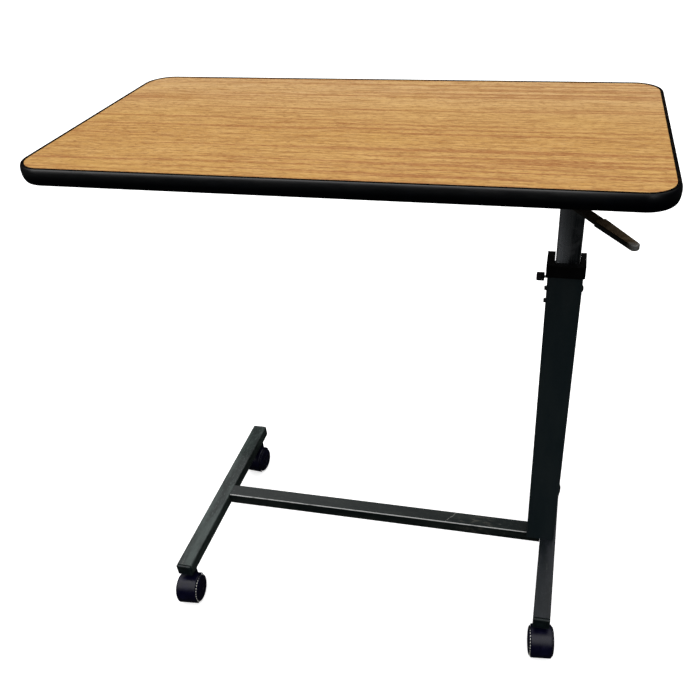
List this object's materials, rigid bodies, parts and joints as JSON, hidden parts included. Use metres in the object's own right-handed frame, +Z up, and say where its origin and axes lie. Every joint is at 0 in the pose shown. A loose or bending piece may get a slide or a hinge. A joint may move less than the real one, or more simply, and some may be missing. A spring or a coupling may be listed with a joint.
{
  "type": "overbed table",
  "caption": "Wheeled overbed table: wood-grain top with black edging on a telescopic side column, H-shaped base under the bed, release lever and hooded twin-wheel casters.",
  "frame": {"origin": "middle of the footprint on the floor", "axes": "+Z up, +X along the tabletop towards the column, +Y towards the rear of the table, -Y towards the side the lever points to"},
  "size_m": [0.803, 0.429, 0.841],
  "materials": {
    "wood_grain_laminate": "satin wood-grain decor sheet, light oak with darker streaks along X",
    "particle_board": "raw board",
    "backing_laminate": "plain brown balancing sheet",
    "black_pvc": "satin extruded edge moulding",
    "black_powder_coat": "semi-gloss powder coat",
    "polished_steel": "dark bright-drawn steel, lightly scuffed",
    "lever_steel": "semi-gloss black",
    "vinyl_sleeve": "glossy dipped vinyl",
    "black_spring_paint": "smooth black",
    "bright_steel": "zinc plated",
    "black_plastic": "fine moulded texture",
    "black_nylon": "smooth moulded wheel"
  },
  "bodies": {
    "base_frame": {"left_foot_bar": "black_powder_coat", "right_foot_bar": "black_powder_coat", "cross_beam": "black_powder_coat", "end_plug_front_left": "black_plastic", "end_plug_front_right": "black_plastic", "end_plug_rear_left": "black_plastic", "end_plug_rear_right": "black_plastic", "outer_column": "black_powder_coat", "column_base_plug": "black_plastic", "gas_spring_cylinder": "black_spring_paint", "gas_spring_lock_nut": "bright_steel", "column_collar": "black_plastic", "upper_glide_sleeve": "black_plastic", "adjuster_glide_pad": "black_plastic", "glide_screw_upper": "bright_steel", "glide_screw_lower": "bright_steel", "sleeve_rivet": "black_plastic"},
    "top_and_mast": {"tabletop_core": "particle_board", "wood_laminate": "wood_grain_laminate", "backing_sheet": "backing_laminate", "edge_moulding": "black_pvc", "support_channel": "black_powder_coat", "mast_gusset": "black_powder_coat", "table_screw_front_left": "bright_steel", "table_screw_front_right": "bright_steel", "table_screw_rear_left": "bright_steel", "table_screw_rear_right": "bright_steel", "inner_mast": "polished_steel", "mast_lower_glide": "black_plastic", "release_head": "bright_steel", "gas_spring_rod": "bright_steel", "gas_spring_piston": "bright_steel", "lever_pivot_pin": "bright_steel"},
    "lever": {"release_lever": "lever_steel", "lever_grip": "vinyl_sleeve"},
    "pin": {"release_pin": "bright_steel"},
    "screw": {"tension_screw": "bright_steel"},
    "knob": {"tension_knob": "black_plastic"},
    "caster_front_left": {"caster_front_left_hood": "black_plastic", "caster_front_left_stem": "bright_steel", "caster_front_left_axle": "bright_steel"},
    "caster_front_left_wheel_left": {"caster_front_left_wheel_left": "black_nylon"},
    "caster_front_left_wheel_right": {"caster_front_left_wheel_right": "black_nylon"},
    "caster_front_right": {"caster_front_right_hood": "black_plastic", "caster_front_right_stem": "bright_steel", "caster_front_right_axle": "bright_steel"},
    "caster_front_right_wheel_left": {"caster_front_right_wheel_left": "black_nylon"},
    "caster_front_right_wheel_right": {"caster_front_right_wheel_right": "black_nylon"},
    "caster_rear_left": {"caster_rear_left_hood": "black_plastic", "caster_rear_left_stem": "bright_steel", "caster_rear_left_axle": "bright_steel"},
    "caster_rear_left_wheel_left": {"caster_rear_left_wheel_left": "black_nylon"},
    "caster_rear_left_wheel_right": {"caster_rear_left_wheel_right": "black_nylon"},
    "caster_rear_right": {"caster_rear_right_hood": "black_plastic", "caster_rear_right_stem": "bright_steel", "caster_rear_right_axle": "bright_steel"},
    "caster_rear_right_wheel_left": {"caster_rear_right_wheel_left": "black_nylon"},
    "caster_rear_right_wheel_right": {"caster_rear_right_wheel_right": "black_nylon"}
  },
  "joints": [
    {"name": "height_slide", "type": "slide", "parent": "base_frame", "child": "top_and_mast", "axis": [0, 0, 1], "range_m": [-0.075, 0.315]},
    {"name": "lever_squeeze", "type": "hinge", "parent": "top_and_mast", "child": "lever", "pos_m": [0.2899, 0.004, 0.747], "axis": [-1, 0, 0], "range_deg": [0, 12], "stiffness_Nm_per_rad": 4, "springref_deg": -5.73},
    {"name": "release_pin_slide", "type": "slide", "parent": "top_and_mast", "child": "pin", "axis": [0, 0, -1], "range_m": [0, 0.0025]},
    {"name": "tension_screw_slide", "type": "slide", "parent": "base_frame", "child": "screw", "axis": [-1, 0, 0], "range_m": [0, 0.0014]},
    {"name": "tension_knob_turn", "type": "hinge", "parent": "screw", "child": "knob", "pos_m": [0.2537, 0.013, 0.624], "axis": [-1, 0, 0], "range_deg": [0, 721]},
    {"name": "caster_front_left_swivel", "type": "hinge", "parent": "base_frame", "child": "caster_front_left", "pos_m": [-0.3477, -0.165, 0.04], "axis": [0, 0, 1], "continuous": true},
    {"name": "caster_front_left_wheel_left_spin", "type": "hinge", "parent": "caster_front_left", "child": "caster_front_left_wheel_left", "pos_m": [-0.34596, -0.18492, 0.025], "axis": [0.9962, 0.0872, 0], "continuous": true},
    {"name": "caster_front_left_wheel_right_spin", "type": "hinge", "parent": "caster_front_left", "child": "caster_front_left_wheel_right", "pos_m": [-0.34596, -0.18492, 0.025], "axis": [0.9962, 0.0872, 0], "continuous": true},
    {"name": "caster_front_right_swivel", "type": "hinge", "parent": "base_frame", "child": "caster_front_right", "pos_m": [0.3026, -0.165, 0.04], "axis": [0, 0, 1], "continuous": true},
    {"name": "caster_front_right_wheel_left_spin", "type": "hinge", "parent": "caster_front_right", "child": "caster_front_right_wheel_left", "pos_m": [0.30469, -0.18489, 0.025], "axis": [0.9945, 0.1045, 0], "continuous": true},
    {"name": "caster_front_right_wheel_right_spin", "type": "hinge", "parent": "caster_front_right", "child": "caster_front_right_wheel_right", "pos_m": [0.30469, -0.18489, 0.025], "axis": [0.9945, 0.1045, 0], "continuous": true},
    {"name": "caster_rear_left_swivel", "type": "hinge", "parent": "base_frame", "child": "caster_rear_left", "pos_m": [-0.3477, 0.191, 0.04], "axis": [0, 0, 1], "continuous": true},
    {"name": "caster_rear_left_wheel_left_spin", "type": "hinge", "parent": "caster_rear_left", "child": "caster_rear_left_wheel_left", "pos_m": [-0.34944, 0.17108, 0.025], "axis": [0.9962, -0.0872, 0], "continuous": true},
    {"name": "caster_rear_left_wheel_right_spin", "type": "hinge", "parent": "caster_rear_left", "child": "caster_rear_left_wheel_right", "pos_m": [-0.34944, 0.17108, 0.025], "axis": [0.9962, -0.0872, 0], "continuous": true},
    {"name": "caster_rear_right_swivel", "type": "hinge", "parent": "base_frame", "child": "caster_rear_right", "pos_m": [0.3026, 0.191, 0.04], "axis": [0, 0, 1], "continuous": true},
    {"name": "caster_rear_right_wheel_left_spin", "type": "hinge", "parent": "caster_rear_right", "child": "caster_rear_right_wheel_left", "pos_m": [0.29415, 0.17287, 0.025], "axis": [0.9063, -0.4226, 0], "continuous": true},
    {"name": "caster_rear_right_wheel_right_spin", "type": "hinge", "parent": "caster_rear_right", "child": "caster_rear_right_wheel_right", "pos_m": [0.29415, 0.17287, 0.025], "axis": [0.9063, -0.4226, 0], "continuous": true}
  ],
  "couplings": [
    {"joint": "release_pin_slide", "follows": "lever_squeeze", "m_per_rad": 0.0094},
    {"joint": "tension_knob_turn", "follows": "tension_screw_slide", "rad_per_m": 8976}
  ]
}
